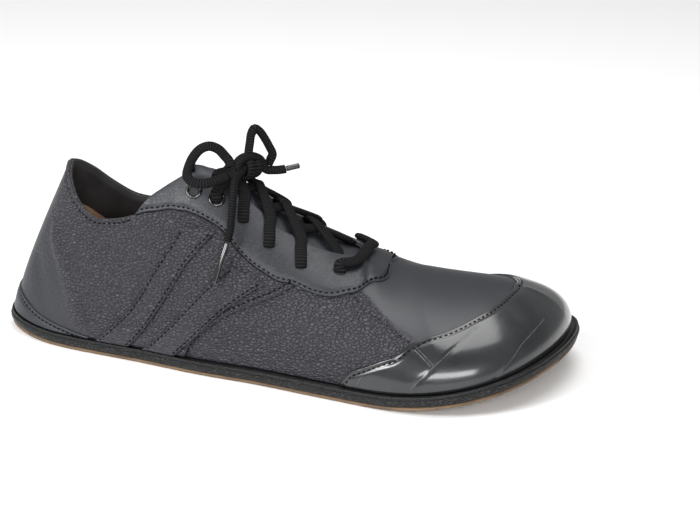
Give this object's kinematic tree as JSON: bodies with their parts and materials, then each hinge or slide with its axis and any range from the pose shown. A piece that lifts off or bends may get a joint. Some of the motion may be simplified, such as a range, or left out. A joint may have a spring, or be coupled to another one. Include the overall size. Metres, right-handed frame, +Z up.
{
  "type": "barefoot shoe",
  "caption": "Low lace-up barefoot shoe for the right foot: hollow leather upper with wide toe box on a thin flexible sole, tied with a bow.",
  "frame": {"origin": "middle of the footprint on the floor, measured without the free lace", "axes": "+X towards the toe, +Y towards the inner (big toe) side, +Z up; the shoe stands on its sole"},
  "size_m": [0.278, 0.1171, 0.1097],
  "materials": {
    "tan_rubber": "matt",
    "black_rubber": "rough matt",
    "tan_leather": "matt",
    "smooth_leather": "satin",
    "glossy_leather": "gloss",
    "grained_leather": "pebbled satin",
    "black_metal": "gloss",
    "black_lace": "ribbed weave",
    "clear_tip": "gloss"
  },
  "bodies": {
    "root": {"outsole": "tan_rubber", "midsole": "black_rubber", "insole": "tan_leather", "upper": "smooth_leather", "tongue": "smooth_leather", "eyestay": "smooth_leather", "toe_cap": "glossy_leather", "heel_band": "smooth_leather", "quarter_outer": "grained_leather", "quarter_inner": "grained_leather", "strap_rear_outer": "grained_leather", "strap_front_outer": "grained_leather", "strap_rear_inner": "grained_leather", "strap_front_inner": "grained_leather", "eyelet_outer_1": "black_metal", "eyelet_outer_2": "black_metal", "eyelet_inner_1": "black_metal", "eyelet_inner_2": "black_metal", "lace_crossings": "black_lace", "lace_knot": "black_lace", "lace_loop_low": "black_lace", "lace_loop_high": "black_lace", "lace_end_long": "black_lace", "lace_end_short": "black_lace", "aglet_long": "clear_tip", "aglet_short": "clear_tip"}
  },
  "joints": []
}
